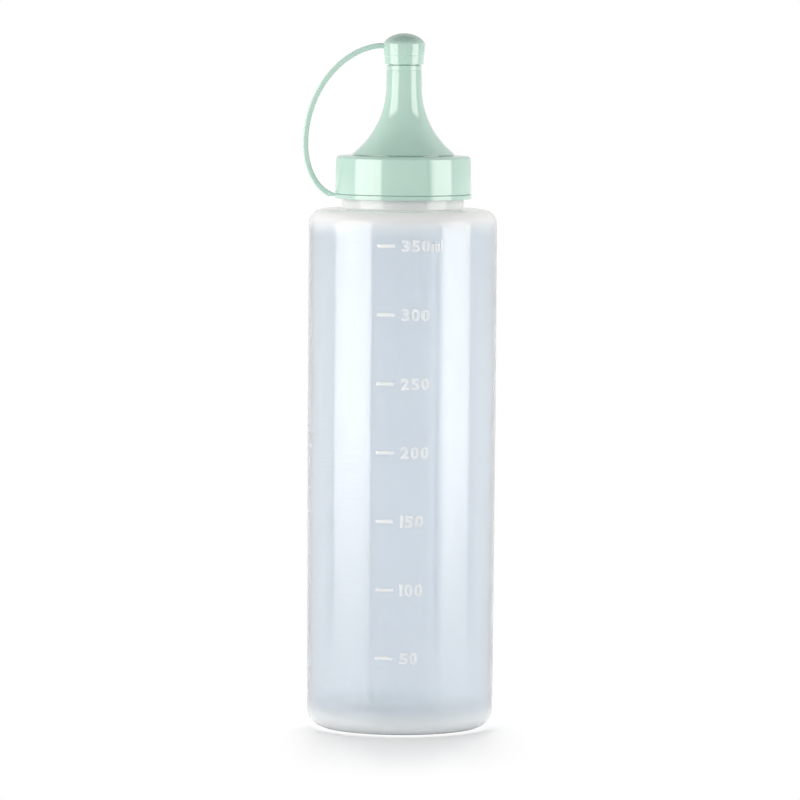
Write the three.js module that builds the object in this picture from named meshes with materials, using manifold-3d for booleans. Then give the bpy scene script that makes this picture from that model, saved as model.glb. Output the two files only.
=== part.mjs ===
// A squeeze bottle for sauces: a blow-moulded bottle, a screw cap with a nozzle, and a tip cap on a tether.
// Millimetres, +Z up. The origin is the middle of the foot, on the surface that the bottle stands on.
// The volume marks face -Y and the tether lies towards -X.
import * as THREE from 'three';
import { mergeVertices } from 'three/addons/utils/BufferGeometryUtils.js';
import Module from 'manifold-3d';

const wasm = await Module();
wasm.setup();

// Clearances between pieces
const FIT_GAP = 0.3; // beside a neighbour, and under what rests on it
const SEAT_GAP = 0.2; // above and below the washer

// Bottle body
const BODY_RADIUS = 28.5;
const WALL_TAPER = 0.3; // how much narrower the wall is where it meets the base corner
const TAPER_TOP = 90; // height at which that taper ends
const BODY_WALL = 1;
const BASE_CORNER = 5.5;
const BASE_WALL = 1.4;
const FOOT_RING_WIDTH = 5.7; // flat ring that the bottle stands on
const PUSH_UP = 2.2; // depth of the hollow under the base
const PUSH_UP_RUN = 4; // width of its sloping edge
const SHOULDER_HEIGHT = 157;
const SHOULDER_CORNER = 4.6;

// Volume marks: one bar for each 50 ml, raised on the front wall up to the shoulder
const FIRST_MARK_HEIGHT = 23.6;
const MARK_SPACING = 20.66;
const MARK_LENGTH = 5.6;
const MARK_THICKNESS = 1.2;
const MARK_RAISE = 0.3;
const MARK_MIDDLE = -4.9; // along the wall, from the front line to the middle of the bar
const MARK_ROOT = 0.6; // how far the bar's root reaches into the wall

// Neck and its thread
const THREAD_ROOT_RADIUS = 17.6;
const NECK_WALL = 1.6; // bore to the root of the thread
const NECK_FILLET = 0.8;
const COLLAR_STEP = 0.9; // the plain collar under the thread stands out this far
const COLLAR_HEIGHT = 3.4;
const RIM_CHAMFER = 0.4;
const THREAD_DEPTH = 1.15;
const THREAD_PITCH = 4.23;
const THREAD_TURNS = 1.25;
const THREAD_FOOT_WIDTH = 2.3;
const THREAD_CREST_WIDTH = 1.1;
const THREAD_LOW_MARGIN = 1; // plain neck between the collar and the thread
const THREAD_TOP_MARGIN = 0.6; // plain neck between the thread and the rim
const THREAD_RUN_OUT = 40; // degrees over which each end fades into the wall
const THREAD_EMBED = 0.5; // how far a thread's foot reaches into its wall

// Seal washer
const WASHER_THICKNESS = 0.8;
const WASHER_INSET = 1.4; // how far it reaches inside the neck's bore

// Screw cap
const DECK_THICKNESS = 2.1;
const SKIRT_WALL = 1.6; // at the step above the tether ring
const SKIRT_TAPER = 0.35; // how much narrower the skirt is at the deck
const SHOULDER_CLEARANCE = 3.05; // shoulder of the bottle to the lower end of the cap
const CAP_EDGE_RADIUS = 1;
const CAP_FOOT_CHAMFER = 0.25;
const SLEEVE_WALL = 0.65; // the thinner end of the skirt, inside the ring
const LIP_HEIGHT = 0.4; // bead that keeps the ring on the sleeve
const LIP_REACH = 0.6;
const CAP_THREAD_START = 0.4; // turns after the start of the neck's thread

// Nozzle
const NOZZLE_SHELF = 4; // flat deck between the cap's rounded edge and the nozzle's foot
const NOZZLE_FLARE_RUN_ON = 5.5; // how far the ellipse of the flare would go on below the foot
const NOZZLE_FOOT_FILLET = 0.5;
const NOZZLE_TUBE_TAPER = 0.1; // how much narrower the tube is at its end
const NOZZLE_HEIGHT = 26.6; // deck to the step that the tip cap rests on
const NOZZLE_TUBE_LENGTH = 6.1; // straight part under that step
const NOZZLE_BORE_LENGTH = 5.4; // straight part of its bore
const NOZZLE_WALL = 1.3;
const NOZZLE_MOUTH_INSET = 1.5; // the mouth inside the deck is this much narrower than the foot
const ORIFICE_RADIUS = 3;
const ORIFICE_LENGTH = 4;
const SPIGOT_WALL = 1.7; // the spigot is the end of the nozzle, inside the tip cap
const SPIGOT_STEP = 0.6; // ledge round the spigot that the tip cap rests on
const SPIGOT_LENGTH = 4.6;
const SPIGOT_CHAMFER = 0.5;

// Tether ring
const RING_HEIGHT = 1.4;
const RING_WALL = 0.65;
const RING_CHAMFER = 0.15;

// Tether strap and the tab that it grows from
const STRAP_THICKNESS = 1.4;
const STRAP_WIDTH = 2.6;
const STRAP_EDGE = 0.35; // chamfer along its four edges
const STRAP_BULGE = 6.75; // how far the strap stands out past its root
const STRAP_BULGE_RISE = 14.75; // from the strap's root up to where it stands out furthest
const STRAP_ROOT_ANGLE = 70; // degrees of the lower ellipse, from the bulge to the root
const STRAP_TIP_DROP = 0.5; // from the top of the tip cap's skirt down to the strap's middle
const TAB_LENGTH = 2.2; // ring to the strap's root
const TAB_WIDTH = 3.2;
const TAB_RISE = 0.3; // middle of the ring up to the strap's root

// Tip cap
const TIP_WALL = 0.85;
const TIP_RIM_HEIGHT = 2.6; // the lower band, under the step line
const TIP_HEADROOM = 1.75; // end of the spigot up to the top of the tip cap's skirt
const TIP_FLARE = 0.45; // how much wider the skirt is at its top than at its rim
const TIP_STEP = 0.12;
const DOME_HEIGHT = 3.3;
const DOME_START = 14; // degrees from the dome's equator up to the top of the skirt
const PLUG_LENGTH = 4.5;
const PLUG_CHAMFER = 0.6;

// Fineness of the round shapes
const ROUND_SEGMENTS = 40;
const TIP_SEGMENTS = 28;
const CORNER_STEPS = 4;
const FLARE_STEPS = 8;
const THREAD_STEPS_PER_TURN = 30;
const STRAP_STEPS = 32;
const MARK_STEPS = 3;
const MERGE_DISTANCE = 1e-4;

// Heights worked out from the sizes above
const collarTop = SHOULDER_HEIGHT + COLLAR_HEIGHT;
const threadBottom = collarTop + COLLAR_STEP + THREAD_LOW_MARGIN;
const threadTop = threadBottom + THREAD_TURNS * THREAD_PITCH + THREAD_FOOT_WIDTH;
const rimHeight = threadTop + THREAD_TOP_MARGIN;
const washerBottom = rimHeight + SEAT_GAP;
const washerTop = washerBottom + WASHER_THICKNESS;
const deckUnderside = washerTop + SEAT_GAP;
const deckTop = deckUnderside + DECK_THICKNESS;
const lipBottom = SHOULDER_HEIGHT + SHOULDER_CLEARANCE;
const lipTop = lipBottom + LIP_HEIGHT;
const ringBottom = lipTop + FIT_GAP;
const ringTop = ringBottom + RING_HEIGHT;
const skirtBottom = ringTop + FIT_GAP;
const nozzleStep = deckTop + NOZZLE_HEIGHT;
const flareTop = nozzleStep - NOZZLE_TUBE_LENGTH;
const boreTop = nozzleStep - NOZZLE_BORE_LENGTH;
const spigotTop = nozzleStep + SPIGOT_LENGTH;
const tipRim = nozzleStep + FIT_GAP;
const tipSkirtTop = spigotTop + TIP_HEADROOM;
const strapTipHeight = tipSkirtTop - STRAP_TIP_DROP;
const strapRootHeight = (ringTop + ringBottom) / 2 + TAB_RISE;
const bulgeHeight = strapRootHeight + STRAP_BULGE_RISE;

// Radii worked out from the sizes above
const footWallRadius = BODY_RADIUS - WALL_TAPER;
const neckBore = THREAD_ROOT_RADIUS - NECK_WALL;
const collarRadius = THREAD_ROOT_RADIUS + COLLAR_STEP;
const threadCrestRadius = THREAD_ROOT_RADIUS + THREAD_DEPTH;
const skirtInnerRadius = threadCrestRadius + FIT_GAP;
const capThreadDepth = skirtInnerRadius - THREAD_ROOT_RADIUS - FIT_GAP;
const capFootRadius = skirtInnerRadius + SKIRT_WALL;
const capTopRadius = capFootRadius - SKIRT_TAPER;
const sleeveRadius = skirtInnerRadius + SLEEVE_WALL;
const ringInnerRadius = sleeveRadius + FIT_GAP;
const ringOuterRadius = ringInnerRadius + RING_WALL;
const nozzleFootRadius = capTopRadius - CAP_EDGE_RADIUS - NOZZLE_SHELF;
const spigotRadius = ORIFICE_RADIUS + SPIGOT_WALL;
const nozzleEndRadius = spigotRadius + SPIGOT_STEP;
const nozzleTubeRadius = nozzleEndRadius + NOZZLE_TUBE_TAPER;
const socketRadius = spigotRadius + FIT_GAP;
const tipRimRadius = socketRadius + TIP_WALL;
const tipTopRadius = tipRimRadius + TIP_FLARE;
const strapTipReach = tipTopRadius + FIT_GAP;
const strapRootReach = ringOuterRadius + TAB_LENGTH;
const strapReach = strapRootReach + STRAP_BULGE;

// The thread's middle line at the start of its run, and half a pitch lower for the cap's own thread
const threadStartHeight = threadBottom + THREAD_FOOT_WIDTH / 2;
const capThreadStartHeight = threadStartHeight - THREAD_PITCH / 2;

const radians = THREE.MathUtils.degToRad;

// Points of a profile are (radius, height).
function point(radius, height) {
  return new THREE.Vector2(radius, height);
}

// Points along a round stretch of a profile, angles in degrees from the outward direction.
function arc(centre, radius, from, to, steps = CORNER_STEPS) {
  const points = [];
  for (let i = 0; i <= steps; i += 1) {
    const angle = radians(from + ((to - from) * i) / steps);
    points.push(point(centre.x + radius * Math.cos(angle), centre.y + radius * Math.sin(angle)));
  }
  return points;
}

// A concave flare on a circle, upright at its top and swept outwards to its foot, listed from the foot up.
function flare(foot, top, steps = FLARE_STEPS) {
  const run = foot.x - top.x;
  const rise = top.y - foot.y;
  const radius = (run * run + rise * rise) / (2 * run);
  const sweep = THREE.MathUtils.radToDeg(Math.atan2(rise, radius - run));
  return arc(point(top.x + radius, top.y), radius, 180 + sweep, 180, steps);
}

// The same on an upright ellipse that would go on below the foot, so that the foot spreads more.
function spreadFlare(foot, top, runOn, steps = FLARE_STEPS) {
  const rise = top.y - foot.y;
  const sweep = Math.asin(rise / (rise + runOn));
  const reach = (foot.x - top.x) / (1 - Math.cos(sweep));
  const points = [];
  for (let i = 0; i <= steps; i += 1) {
    const angle = sweep * (1 - i / steps);
    points.push(point(top.x + reach * (1 - Math.cos(angle)), top.y - (rise + runOn) * Math.sin(angle)));
  }
  return points;
}

// A profile turned about the Z axis.
function turned(profile, segments = ROUND_SEGMENTS) {
  return new THREE.LatheGeometry(profile, segments).rotateX(Math.PI / 2);
}

// A closed geometry as a solid for joining and cutting.
function solid(geometry) {
  const bare = new THREE.BufferGeometry().setAttribute('position', geometry.getAttribute('position'));
  bare.setIndex(geometry.index);
  const merged = mergeVertices(bare, MERGE_DISTANCE);
  const triangles = [];
  for (let i = 0; i < merged.index.count; i += 3) {
    const [a, b, c] = merged.index.array.slice(i, i + 3);
    if (a !== b && b !== c && c !== a) triangles.push(a, b, c);
  }
  return new wasm.Manifold(new wasm.Mesh({
    numProp: 3,
    vertProperties: merged.getAttribute('position').array,
    triVerts: new Uint32Array(triangles),
  }));
}

// A solid as a geometry, with flat shading.
function geometryOf(made) {
  const { vertProperties, triVerts } = made.getMesh();
  const geometry = new THREE.BufferGeometry();
  geometry.setAttribute('position', new THREE.BufferAttribute(vertProperties, 3));
  geometry.setIndex(new THREE.BufferAttribute(triVerts, 1));
  const loose = geometry.toNonIndexed();
  loose.computeVertexNormals();
  return loose;
}

// A helical ridge on a round wall. side is 1 on an outer wall and -1 on an inner one.
function threadRidge({ wallRadius, depth, side, startHeight, startTurn }) {
  const steps = Math.round(THREAD_TURNS * THREAD_STEPS_PER_TURN);
  const runOut = THREAD_RUN_OUT / 360;
  const positions = [];
  let around = 0;
  for (let i = 0; i <= steps; i += 1) {
    const turn = startTurn + (THREAD_TURNS * i) / steps;
    const fromEnd = Math.min(turn - startTurn, startTurn + THREAD_TURNS - turn);
    const reach = depth * Math.min(1, fromEnd / runOut);
    const middle = startHeight + THREAD_PITCH * turn;
    const section = [
      [wallRadius - side * THREAD_EMBED, middle - THREAD_FOOT_WIDTH / 2],
      [wallRadius, middle - THREAD_FOOT_WIDTH / 2],
      [wallRadius + side * reach, middle - THREAD_CREST_WIDTH / 2],
      [wallRadius + side * reach, middle + THREAD_CREST_WIDTH / 2],
      [wallRadius, middle + THREAD_FOOT_WIDTH / 2],
      [wallRadius - side * THREAD_EMBED, middle + THREAD_FOOT_WIDTH / 2],
    ];
    const angle = turn * 2 * Math.PI;
    for (const [radius, height] of section) {
      positions.push(radius * Math.cos(angle), radius * Math.sin(angle), height);
    }
    around = section.length;
  }
  const index = [];
  const face = (a, b, c) => (side > 0 ? index.push(a, b, c) : index.push(a, c, b));
  for (let i = 0; i < steps; i += 1) {
    for (let j = 0; j < around; j += 1) {
      const here = i * around + j;
      const next = i * around + ((j + 1) % around);
      face(here, here + around, next);
      face(next, here + around, next + around);
    }
  }
  const last = steps * around;
  for (let j = 1; j < around - 1; j += 1) {
    face(0, j, j + 1);
    face(last, last + j + 1, last + j);
  }
  const geometry = new THREE.BufferGeometry();
  geometry.setAttribute('position', new THREE.Float32BufferAttribute(positions, 3));
  geometry.setIndex(index);
  return solid(geometry);
}

// One raised bar of the volume scale, curved with the wall.
function volumeMark(height) {
  const middle = -Math.PI / 2 + MARK_MIDDLE / BODY_RADIUS;
  const half = MARK_LENGTH / BODY_RADIUS / 2;
  const outline = new THREE.Shape();
  outline.absarc(0, 0, BODY_RADIUS + MARK_RAISE, middle - half, middle + half, false);
  outline.absarc(0, 0, footWallRadius - MARK_ROOT, middle + half, middle - half, true);
  const bar = new THREE.ExtrudeGeometry(outline, {
    depth: MARK_THICKNESS,
    bevelEnabled: false,
    curveSegments: MARK_STEPS,
  });
  return solid(bar.translate(0, 0, height - MARK_THICKNESS / 2));
}

function bottle() {
  const baseCorner = point(footWallRadius - BASE_CORNER, BASE_CORNER);
  const shoulderCorner = point(BODY_RADIUS - SHOULDER_CORNER, SHOULDER_HEIGHT - SHOULDER_CORNER);
  const footInnerRadius = baseCorner.x - FOOT_RING_WIDTH;
  const hollowEdge = footInnerRadius - PUSH_UP_RUN;
  const profile = [
    point(0, PUSH_UP),
    point(hollowEdge, PUSH_UP),
    point(footInnerRadius, 0),
    ...arc(baseCorner, BASE_CORNER, -90, 0),
    point(BODY_RADIUS, TAPER_TOP),
    ...arc(shoulderCorner, SHOULDER_CORNER, 0, 90),
    ...arc(point(collarRadius + NECK_FILLET, SHOULDER_HEIGHT + NECK_FILLET), NECK_FILLET, 270, 180),
    point(collarRadius, collarTop),
    point(THREAD_ROOT_RADIUS, collarTop + COLLAR_STEP),
    point(THREAD_ROOT_RADIUS, rimHeight - RIM_CHAMFER),
    point(THREAD_ROOT_RADIUS - RIM_CHAMFER, rimHeight),
    point(neckBore, rimHeight),
    point(neckBore, SHOULDER_HEIGHT - BODY_WALL),
    ...arc(shoulderCorner, SHOULDER_CORNER - BODY_WALL, 90, 0),
    point(BODY_RADIUS - BODY_WALL, TAPER_TOP),
    ...arc(baseCorner, BASE_CORNER - BODY_WALL, 0, -90),
    point(footInnerRadius, BASE_WALL),
    point(hollowEdge, PUSH_UP + BASE_WALL),
    point(0, PUSH_UP + BASE_WALL),
  ];
  const thread = threadRidge({
    wallRadius: THREAD_ROOT_RADIUS,
    depth: THREAD_DEPTH,
    side: 1,
    startHeight: threadStartHeight,
    startTurn: 0,
  });
  let made = solid(turned(profile)).add(thread);
  const markLimit = shoulderCorner.y - MARK_THICKNESS;
  for (let height = FIRST_MARK_HEIGHT; height < markLimit; height += MARK_SPACING) {
    made = made.add(volumeMark(height));
  }
  return geometryOf(made);
}

function sealWasher() {
  const outer = skirtInnerRadius - FIT_GAP;
  const bore = neckBore - WASHER_INSET;
  return turned([
    point(bore, washerBottom),
    point(outer, washerBottom),
    point(outer, washerTop),
    point(bore, washerTop),
    point(bore, washerBottom),
  ]);
}

function screwCap() {
  const lipRadius = sleeveRadius + LIP_REACH;
  const edge = point(capTopRadius - CAP_EDGE_RADIUS, deckTop - CAP_EDGE_RADIUS);
  const mouthRadius = nozzleFootRadius - NOZZLE_MOUTH_INSET;
  const boreRadius = nozzleTubeRadius - NOZZLE_WALL;
  const nozzleFoot = point(nozzleFootRadius, deckTop + NOZZLE_FOOT_FILLET / 2);
  const profile = [
    point(skirtInnerRadius, lipBottom),
    point(sleeveRadius, lipBottom),
    point(lipRadius, lipBottom + LIP_HEIGHT / 2),
    point(lipRadius, lipTop),
    point(sleeveRadius, lipTop),
    point(sleeveRadius, skirtBottom),
    point(capFootRadius - CAP_FOOT_CHAMFER, skirtBottom),
    point(capFootRadius, skirtBottom + CAP_FOOT_CHAMFER),
    ...arc(edge, CAP_EDGE_RADIUS, 0, 90),
    point(nozzleFootRadius + NOZZLE_FOOT_FILLET, deckTop),
    ...spreadFlare(nozzleFoot, point(nozzleTubeRadius, flareTop), NOZZLE_FLARE_RUN_ON),
    point(nozzleEndRadius, nozzleStep),
    point(spigotRadius, nozzleStep),
    point(spigotRadius, spigotTop - SPIGOT_CHAMFER),
    point(spigotRadius - SPIGOT_CHAMFER, spigotTop),
    point(ORIFICE_RADIUS, spigotTop),
    point(ORIFICE_RADIUS, spigotTop - ORIFICE_LENGTH),
    ...flare(point(mouthRadius, deckUnderside), point(boreRadius, boreTop)).reverse(),
    point(skirtInnerRadius, deckUnderside),
    point(skirtInnerRadius, lipBottom),
  ];
  const thread = threadRidge({
    wallRadius: skirtInnerRadius,
    depth: capThreadDepth,
    side: -1,
    startHeight: capThreadStartHeight,
    startTurn: CAP_THREAD_START,
  });
  return geometryOf(solid(turned(profile)).add(thread));
}

// The strap's middle line, from its root at the tab, out to the bulge, and up and over to the tip cap.
class StrapLine extends THREE.Curve {
  getPoint(t, target = new THREE.Vector3()) {
    const rootAngle = radians(STRAP_ROOT_ANGLE);
    const angle = rootAngle - t * (rootAngle + Math.PI / 2);
    const lower = angle > 0;
    const width = lower ? STRAP_BULGE / (1 - Math.cos(rootAngle)) : strapReach - strapTipReach;
    const height = lower ? STRAP_BULGE_RISE / Math.sin(rootAngle) : strapTipHeight - bulgeHeight;
    const reach = strapReach - width * (1 - Math.cos(angle));
    return target.set(-reach, 0, bulgeHeight - height * Math.sin(angle));
  }
}

function tetherStrap(line) {
  const across = STRAP_WIDTH / 2;
  const through = STRAP_THICKNESS / 2;
  const section = new THREE.Shape();
  section.moveTo(-across, -through + STRAP_EDGE);
  section.lineTo(-across + STRAP_EDGE, -through);
  section.lineTo(across - STRAP_EDGE, -through);
  section.lineTo(across, -through + STRAP_EDGE);
  section.lineTo(across, through - STRAP_EDGE);
  section.lineTo(across - STRAP_EDGE, through);
  section.lineTo(-across + STRAP_EDGE, through);
  section.lineTo(-across, through - STRAP_EDGE);
  return new THREE.ExtrudeGeometry(section, { steps: STRAP_STEPS, extrudePath: line });
}

// The band round the cap's sleeve, joined to the wedge-shaped tab whose end faces the strap's root.
function tetherRing(line) {
  const band = turned([
    point(ringInnerRadius, ringBottom),
    point(ringOuterRadius - RING_CHAMFER, ringBottom),
    point(ringOuterRadius, ringBottom + RING_CHAMFER),
    point(ringOuterRadius, ringTop - RING_CHAMFER),
    point(ringOuterRadius - RING_CHAMFER, ringTop),
    point(ringInnerRadius, ringTop),
    point(ringInnerRadius, ringBottom),
  ]);
  const root = line.getPoint(0);
  const along = line.getTangent(0);
  const endX = root.x - along.x * FIT_GAP;
  const endZ = root.z - along.z * FIT_GAP;
  const halfX = (along.z * STRAP_THICKNESS) / 2;
  const halfZ = (-along.x * STRAP_THICKNESS) / 2;
  const innerX = -(ringInnerRadius + ringOuterRadius) / 2;
  const side = new THREE.Shape();
  side.moveTo(innerX, ringBottom + RING_CHAMFER);
  side.lineTo(innerX, ringTop - RING_CHAMFER);
  side.lineTo(endX + halfX, endZ + halfZ);
  side.lineTo(endX - halfX, endZ - halfZ);
  const tab = new THREE.ExtrudeGeometry(side, { depth: TAB_WIDTH, bevelEnabled: false });
  tab.rotateX(Math.PI / 2).translate(0, TAB_WIDTH / 2, 0);
  return geometryOf(solid(band).add(solid(tab)));
}

function tipCap() {
  const stepHeight = tipRim + TIP_RIM_HEIGHT;
  const plugRadius = ORIFICE_RADIUS - FIT_GAP;
  const plugBottom = tipSkirtTop - PLUG_LENGTH;
  const domeStart = radians(DOME_START);
  const dome = [];
  for (let i = 0; i <= FLARE_STEPS; i += 1) {
    const angle = domeStart + (Math.PI / 2 - domeStart) * (i / FLARE_STEPS);
    const radius = i === FLARE_STEPS ? 0 : (tipTopRadius * Math.cos(angle)) / Math.cos(domeStart);
    const rise = (Math.sin(angle) - Math.sin(domeStart)) / (1 - Math.sin(domeStart));
    dome.push(point(radius, tipSkirtTop + DOME_HEIGHT * rise));
  }
  return turned([
    point(0, plugBottom),
    point(plugRadius - PLUG_CHAMFER, plugBottom),
    point(plugRadius, plugBottom + PLUG_CHAMFER),
    point(plugRadius, tipSkirtTop),
    point(socketRadius, tipSkirtTop),
    point(socketRadius, tipRim),
    point(tipRimRadius, tipRim),
    point(tipRimRadius, stepHeight),
    point(tipRimRadius + TIP_STEP, stepHeight),
    ...dome,
  ], TIP_SEGMENTS);
}

const translucent = new THREE.MeshStandardMaterial({
  color: 0xdde5ec,
  roughness: 0.3,
  metalness: 0,
  transparent: true,
  opacity: 0.75,
});
const mint = new THREE.MeshStandardMaterial({ color: 0xb6d6c9, roughness: 0.32, metalness: 0 });
const sealWhite = new THREE.MeshStandardMaterial({ color: 0xf0f1ee, roughness: 0.6, metalness: 0 });

function piece(name, geometry, material) {
  const mesh = new THREE.Mesh(geometry, material.clone());
  mesh.name = name;
  return mesh;
}

const strapLine = new StrapLine();
const dispenser = new THREE.Group();
dispenser.add(
  piece('bottle', bottle(), translucent),
  piece('seal_washer', sealWasher(), sealWhite),
  piece('screw_cap', screwCap(), mint),
  piece('tether_ring', tetherRing(strapLine), mint),
  piece('tether_strap', tetherStrap(strapLine), mint),
  piece('tip_cap', tipCap(), mint),
);

export default dispenser;
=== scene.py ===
"""A squeeze bottle for sauces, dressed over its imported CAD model.

The file is laid out as an add-on: each operator makes one piece or the stage, and the panel lists them
in order.
"""

import math

import bmesh
import bpy
from bpy.props import FloatProperty, FloatVectorProperty, IntProperty, PointerProperty
from mathutils import Matrix, Vector


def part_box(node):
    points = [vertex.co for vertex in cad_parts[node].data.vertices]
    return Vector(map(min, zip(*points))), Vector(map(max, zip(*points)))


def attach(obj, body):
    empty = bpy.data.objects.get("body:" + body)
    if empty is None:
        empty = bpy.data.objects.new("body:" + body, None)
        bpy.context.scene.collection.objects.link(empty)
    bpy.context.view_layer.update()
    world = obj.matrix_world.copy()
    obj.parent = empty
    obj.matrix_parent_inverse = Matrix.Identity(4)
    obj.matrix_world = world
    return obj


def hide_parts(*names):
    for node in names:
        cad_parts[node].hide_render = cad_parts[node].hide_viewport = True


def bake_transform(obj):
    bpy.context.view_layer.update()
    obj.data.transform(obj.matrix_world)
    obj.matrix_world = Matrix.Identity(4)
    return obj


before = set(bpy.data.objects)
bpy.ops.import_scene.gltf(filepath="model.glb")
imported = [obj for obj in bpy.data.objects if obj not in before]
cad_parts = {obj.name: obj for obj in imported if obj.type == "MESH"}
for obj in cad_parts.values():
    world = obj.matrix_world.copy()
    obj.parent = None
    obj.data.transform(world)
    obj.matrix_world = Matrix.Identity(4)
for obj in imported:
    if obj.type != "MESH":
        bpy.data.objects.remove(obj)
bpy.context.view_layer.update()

bl_info = {
    "name": "Squeeze Sauce Bottle",
    "version": (1, 0, 0),
    "blender": (4, 5, 0),
    "location": "3D View > Sidebar > Sauce Bottle",
    "description": "Builds a translucent squeeze bottle with a screw cap, a nozzle and a tethered tip cap",
    "category": "Add Mesh",
}

PANEL_TAB = "Sauce Bottle"

BOTTLE_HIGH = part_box("bottle")[1]
WASHER_LOW, WASHER_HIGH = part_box("seal_washer")
CAP_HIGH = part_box("screw_cap")[1]
RING_LOW, RING_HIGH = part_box("tether_ring")
TIP_LOW, TIP_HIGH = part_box("tip_cap")

# Fineness of the meshes
ROUND_SEGMENTS = 256
TIP_SEGMENTS = 96
CORNER_STEPS = 6
FLARE_STEPS = 28
DOME_STEPS = 16
STRAP_STEPS = 360
BAR_STEPS = 9
WALL_ROWS = 60
NUMBER_STEPS = 6
EDGE_STEPS = 3
SHARP_ANGLE = math.radians(38)
WELD = 1e-6

FULL_TURN = 2 * math.pi
QUARTER_TURN = math.pi / 2

FIT_GAP = 0.0003  # clearance that the CAD model leaves between neighbours
THREAD_END_SIZE = 0.02  # size of a thread's section where it fades out

# Letters are made one unit high before they are fitted to the wall
NUMBER_EXTRUDE = 0.03
NUMBER_BEVEL = 0.03
TEXT_WELD = 1e-5

# Where the bottle's plastic is thick enough to be milky, and how milky it is there
MARK_EDGE = (0.00003, 0.00016)  # from the wall out to where a mark starts to be milky and is so fully
MARK_MILK = 0.8
FOOT_EDGE = (0.0085, 0.003)  # heights between which it comes in towards the foot
FOOT_MILK = 0.7
SHOULDER_EDGE = (0.149, 0.156)  # heights between which it comes in towards the shoulder

# Patterns in the finishes, in features per metre, each with the shades or roughness between which it runs
CLOUD_SCALE = (60.0, 60.0, 25.0)
CLOUD_SHADES = (0.98, 1.02)
CLOUD_ROUGHNESS = (0.3, 0.38)
RIDGE_SCALE = (120.0, 120.0, 950.0)
RIDGE_SIDE = (-0.004, -0.014)  # the mould's ridges come in along X, towards the left of the wall
RIDGE_REST = 0.15  # what is left of them elsewhere
RIPPLE_SCALE = (90.0, 90.0, 22.0)
FLOW_SCALE = (120.0, 120.0, 60.0)
FLOW_SHADES = (0.965, 1.035)
FLOW_ROUGHNESS = (0.11, 0.15)
# painted shade: the top of the tip cap's dome keeps this share of the mint's colour
DOME_PAINTED_SHADE = 0.76
GRAIN_SCALE = 4200.0
FLECK_SCALE = 900.0
FLECK_SHADES = (0.95, 1.0)
FLECK_ROUGHNESS = (0.55, 0.7)
NOISE_RANGE = (0.3, 0.7)  # most of a noise lies between these values

# Reliefs: strength and depth in metres
RIDGE_RELIEF = (0.5, 0.0001)
RIPPLE_RELIEF = (0.3, 0.00015)
GRAIN_RELIEF = (0.05, 0.000008)
FLECK_RELIEF = (0.2, 0.00005)

# How plastic takes light
WALL_IOR = 1.08  # low, because a thin cloudy wall hardly bends what is seen through it
WALL_CLEAR = (0.88, 0.05)  # share of light that passes straight on, thin and thick
WALL_SCATTER = 0.0015
GLOSS_IOR = 1.75
GLOSS_ROUGHNESS = 0.07
MINT_IOR = 1.69

# Stage
SENSOR_WIDTH = 36.0
CAMERA_REACH = 100.0
SHEET_UV = "sheet"
SHEET_CORNERS = ((0, 0), (1, 0), (1, 1), (0, 1))
FAR_FADE = (1.0, 0.94)  # across a softbox, where its light fades towards its far edge
TOP_FADE = (1.0, 0.85)  # up a softbox, where its light fades towards its top
GLOW_STRETCH = (2, 1, 1)  # sideways, the floor turns white at half the distance
LEVEL = (1, 1, 0)

# Parts of the room, by how far a ray points back (Y) or up (Z)
FRONT_TO_BACK = (-0.2, 0.6)
GLOSS_BACK = (0.35, 0.85)
OVERHEAD_LIGHT = (0.62, 0.95)
OVERHEAD_GLOSS = (0.2, 0.7)


def length(name, default, description):
    """A size in metres."""
    return FloatProperty(
        name=name, description=description, default=default, precision=5, subtype="DISTANCE", unit="LENGTH"
    )


def angle(name, default, description):
    """An angle, given in degrees."""
    return FloatProperty(
        name=name, description=description, default=math.radians(default), subtype="ANGLE", unit="ROTATION"
    )


def share(name, default, description):
    """A number with no unit."""
    return FloatProperty(name=name, description=description, default=default, precision=4)


def colour(name, default, description):
    """A linear colour."""
    return FloatVectorProperty(
        name=name, description=description, default=default, size=3, min=0.0, max=1.0, subtype="COLOR"
    )


class BottleSizes(bpy.types.PropertyGroup):
    """Sizes of the blow-moulded bottle."""

    body_radius: length("Body radius", BOTTLE_HIGH.x, "Outside of the wall above its taper")
    wall_taper: length("Wall taper", 0.0003, "How much narrower the wall is at the base corner")
    taper_top: length("Taper top", 0.090, "Height at which the wall's taper ends")
    wall: length("Wall", 0.001, "Thickness of the wall")
    base_corner: length("Base corner", 0.0055, "Round between the wall and the foot")
    base_wall: length("Base wall", 0.0014, "Thickness of the base")
    foot_ring: length("Foot ring", 0.0057, "Width of the flat ring that the bottle stands on")
    push_up: length("Push-up", 0.0022, "Depth of the hollow under the base")
    push_up_run: length("Push-up run", 0.004, "Width of the hollow's sloping edge")
    push_up_round: length("Push-up round", 0.0015, "Rounding at the top of that slope")
    foot_round: length("Foot round", 0.0008, "Rounding at the foot of that slope")
    shoulder_height: length("Shoulder height", 0.157, "Foot to the flat shoulder")
    shoulder_corner: length("Shoulder corner", 0.0046, "Round between the wall and the shoulder")
    neck_fillet: length("Neck fillet", 0.0008, "Round between the shoulder and the collar")
    collar_radius: length("Collar radius", 0.0185, "Plain collar under the thread")
    collar_height: length("Collar height", 0.0034, "Shoulder to the top of the collar")
    neck_radius: length("Neck radius", 0.0176, "Root of the thread")
    neck_bore: length("Neck bore", 0.016, "Inside of the neck")
    rim_height: length("Rim height", BOTTLE_HIGH.z, "Foot to the rim of the neck")
    rim_round: length("Rim round", 0.0004, "Rounding of the rim's edges")


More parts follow.
